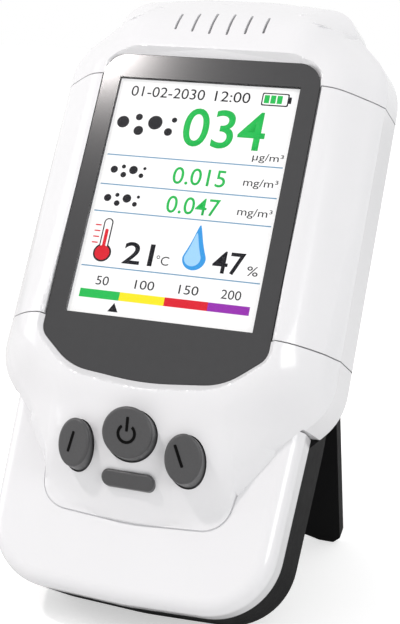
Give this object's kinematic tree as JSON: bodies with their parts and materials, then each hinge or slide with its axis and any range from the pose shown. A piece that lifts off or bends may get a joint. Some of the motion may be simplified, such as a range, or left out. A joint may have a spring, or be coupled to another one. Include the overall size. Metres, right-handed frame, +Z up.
{
  "type": "airborne particle counter",
  "caption": "Handheld airborne particle counter with a colour display, round power key, two side keys, vent slots and a folding kickstand, standing on its heel.",
  "frame": {"origin": "centre of the footprint on the surface that the heel and the kickstand's feet rest on", "axes": "+Z up, +X to the right seen from the front, the display faces -Y and leans back by 30 degrees"},
  "size_m": [0.0804, 0.0903, 0.1362],
  "materials": {
    "white_cover": "glossy white moulded plastic",
    "black_cover": "satin black moulded plastic",
    "lens": "glossy dark acrylic",
    "screen": "lit liquid crystal display",
    "key": "dark grey soft-touch plastic",
    "plunger": "black plastic",
    "switch_shell": "stamped steel",
    "circuit_board": "green solder mask",
    "tray": "grey moulded plastic",
    "cell": "laminated foil pouch",
    "foam": "open foam",
    "steel": "zinc-plated steel",
    "laser": "brass can"
  },
  "bodies": {
    "case": {"front_cover": "white_cover", "left_side_panel": "white_cover", "right_side_panel": "white_cover", "lower_cover": "white_cover", "rear_cover": "black_cover", "display_lens": "lens", "lcd_panel": "screen", "lcd_tray": "tray", "power_switch": "switch_shell", "left_switch": "switch_shell", "right_switch": "switch_shell", "status_window": "key", "main_board": "circuit_board", "formaldehyde_sensor": "switch_shell", "vapour_sensor": "switch_shell", "buzzer": "plunger", "humidity_sensor": "tray", "processor": "plunger", "battery": "cell", "sensor_tray": "tray", "sensor_lid": "tray", "fan_axle": "steel", "laser_diode": "laser", "photodiode": "plunger", "dust_filter": "foam", "charging_board": "circuit_board", "usb_socket": "switch_shell", "case_screws": "steel", "board_screws": "steel", "left_hinge_pin": "steel", "right_hinge_pin": "steel"},
    "power_key": {"power_button": "key", "power_plunger": "plunger"},
    "left_key": {"left_button": "key", "left_plunger": "plunger"},
    "right_key": {"right_button": "key", "right_plunger": "plunger"},
    "fan": {"fan_impeller": "plunger"},
    "kickstand": {"stand": "black_cover"}
  },
  "joints": [
    {"name": "power_press", "type": "slide", "parent": "case", "child": "power_key", "axis": [0, 0.866, -0.5], "range_m": [0, 0.0005], "stiffness_N_per_m": 1500},
    {"name": "left_press", "type": "slide", "parent": "case", "child": "left_key", "axis": [0, 0.866, -0.5], "range_m": [0, 0.0005], "stiffness_N_per_m": 1500},
    {"name": "right_press", "type": "slide", "parent": "case", "child": "right_key", "axis": [0, 0.866, -0.5], "range_m": [0, 0.0005], "stiffness_N_per_m": 1500},
    {"name": "fan_spin", "type": "hinge", "parent": "case", "child": "fan", "pos_m": [-0.0095, 0.01633, 0.08537], "axis": [0, -0.866, 0.5], "continuous": true},
    {"name": "stand_fold", "type": "hinge", "parent": "case", "child": "kickstand", "pos_m": [0, 0.01135, 0.05475], "axis": [-1, 0, 0], "range_deg": [0, 50]}
  ]
}
